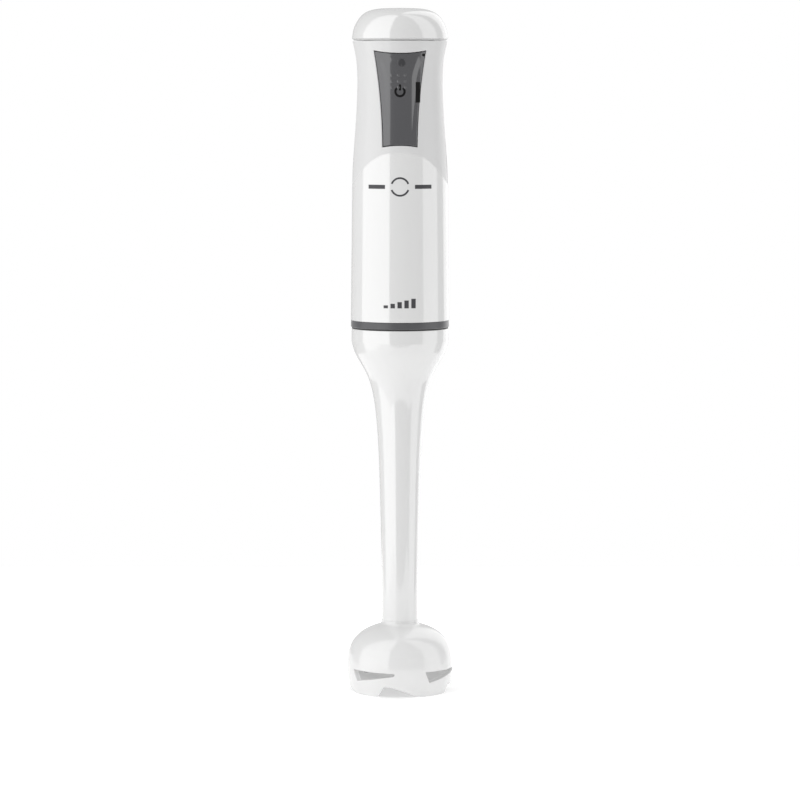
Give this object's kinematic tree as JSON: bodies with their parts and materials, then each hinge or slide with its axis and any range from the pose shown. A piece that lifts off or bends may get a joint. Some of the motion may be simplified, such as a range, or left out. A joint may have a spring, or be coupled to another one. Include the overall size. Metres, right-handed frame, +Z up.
{
  "type": "immersion blender",
  "caption": "Hand-held stick blender: waisted motor unit with a tapered press panel, twist-off slim foot, bell guard with wedge slots and a two-wing blade.",
  "frame": {"origin": "on the drive axis, in the plane of the bell guard's feet (bottom centre of the bounding box)", "axes": "+Z up along the drive axis towards the cap; -Y is the front, with the press panel; +X to the right seen from the front"},
  "size_m": [0.0588, 0.0588, 0.38],
  "materials": {
    "white_gloss": "high-gloss moulded",
    "ring_grey": "fine satin",
    "gasket_rubber": "matt",
    "smoked_cover": "polished, smoked",
    "panel_carrier": "satin",
    "steel": "brushed",
    "zinc_screw": "zinc plated",
    "bronze": "sintered, oiled",
    "seal_rubber": "matt",
    "nylon": "natural nylon",
    "black_nylon": "glass-filled",
    "lamination": "stacked sheet edges",
    "copper": "enamelled",
    "carbon": "pressed carbon",
    "brass": "drawn",
    "board_green": "solder mask",
    "capacitor_yellow": "box film",
    "lamp": "diffused",
    "lead_insulation": "smooth"
  },
  "bodies": {
    "foot": {"bell_guard": "white_gloss", "foot_tube": "white_gloss", "foot_collar": "nylon", "upper_bush": "bronze", "lower_bush": "bronze", "shaft_seal": "seal_rubber"},
    "blade_assembly": {"blade_shaft": "steel", "blade": "steel", "blade_hub": "black_nylon", "blade_nut": "steel", "thrust_washer": "steel", "shaft_clip": "steel", "foot_coupling": "nylon"},
    "rotor": {"armature_shaft": "steel", "armature_core": "lamination", "armature_windings": "copper", "commutator": "copper", "fan": "black_nylon", "motor_coupling": "nylon"},
    "gasket": {"joint_gasket": "gasket_rubber"},
    "switch_panel": {"panel_window": "smoked_cover", "panel_base_plate": "panel_carrier"},
    "plunger": {"switch_plunger": "nylon"},
    "motor_unit": {"coupling_socket": "ring_grey", "lower_bracket": "black_nylon", "upper_bracket": "black_nylon", "damping_ring": "gasket_rubber", "stator_core": "lamination", "field_coils": "copper", "motor_bolts": "zinc_screw", "lower_bearing": "steel", "upper_bearing": "steel", "brush_holders": "brass", "carbon_brushes": "carbon", "brush_springs": "steel", "front_housing": "white_gloss", "rear_housing": "white_gloss", "top_cap": "white_gloss", "paddle_pin": "steel", "paddle_spring": "steel", "housing_screws": "zinc_screw", "circuit_board": "board_green", "board_screws": "zinc_screw", "microswitch": "black_nylon", "capacitor": "capacitor_yellow", "indicator_led": "lamp", "motor_leads": "lead_insulation", "cord_grommet": "gasket_rubber", "cord_clamp": "nylon", "clamp_screws": "zinc_screw"}
  },
  "joints": [
    {"name": "blade_spin", "type": "hinge", "parent": "foot", "child": "blade_assembly", "pos_m": [0, 0, 0.012], "axis": [0, 0, 1], "continuous": true},
    {"name": "motor_twist", "type": "hinge", "parent": "foot", "child": "gasket", "pos_m": [0, 0, 0.2032], "axis": [0, 0, 1], "range_deg": [0, 60]},
    {"name": "motor_draw", "type": "slide", "parent": "gasket", "child": "motor_unit", "axis": [0, 0, 1], "range_m": [0, 0.00601]},
    {"name": "rotor_draw", "type": "slide", "parent": "blade_assembly", "child": "rotor", "axis": [0, 0, 1], "range_m": [0, 0.00601]},
    {"name": "switch_press", "type": "hinge", "parent": "motor_unit", "child": "switch_panel", "pos_m": [0, -0.0184, 0.3073], "axis": [-1, 0, 0], "range_deg": [0, 3.2], "stiffness_Nm_per_rad": 2, "springref_deg": -1.72},
    {"name": "plunger_press", "type": "slide", "parent": "motor_unit", "child": "plunger", "axis": [0, 1, 0], "range_m": [0, 0.0021]}
  ],
  "couplings": [
    {"joint": "motor_draw", "follows": "motor_twist", "m_per_rad": 0.0057296},
    {"joint": "rotor_draw", "follows": "motor_twist", "m_per_rad": 0.0057296},
    {"joint": "plunger_press", "follows": "switch_press", "m_per_rad": 0.0371}
  ]
}
